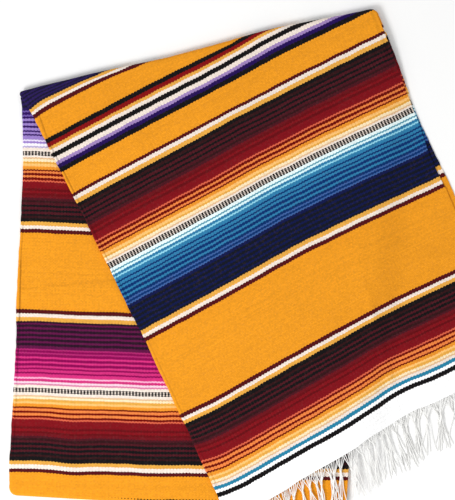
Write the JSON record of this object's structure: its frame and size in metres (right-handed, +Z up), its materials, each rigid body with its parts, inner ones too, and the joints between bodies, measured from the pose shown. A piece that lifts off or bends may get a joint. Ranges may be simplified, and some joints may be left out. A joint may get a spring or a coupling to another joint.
{
  "type": "mexican serape blanket, folded and laid flat",
  "caption": "Striped woven serape blanket, doubled lengthwise and folded over at an angle, lying flat, with a knotted fringe at its free end.",
  "frame": {"origin": "middle of the footprint, on the surface the blanket lies on", "axes": "+Z up from the surface, +Y towards the top fold, +X towards the free end's right corner"},
  "size_m": [0.8914, 0.9586, 0.0164],
  "materials": {
    "striped_cloth": "matte weft-faced weave with many-coloured stripes across it",
    "white_fringe": "matte twisted warp yarn"
  },
  "bodies": {
    "root": {"upper_arm_face": "striped_cloth", "upper_arm_under_layer": "striped_cloth", "lower_arm_face": "striped_cloth", "hidden_layers": "striped_cloth", "fringe_upper": "white_fringe", "fringe_under": "white_fringe"}
  },
  "joints": []
}
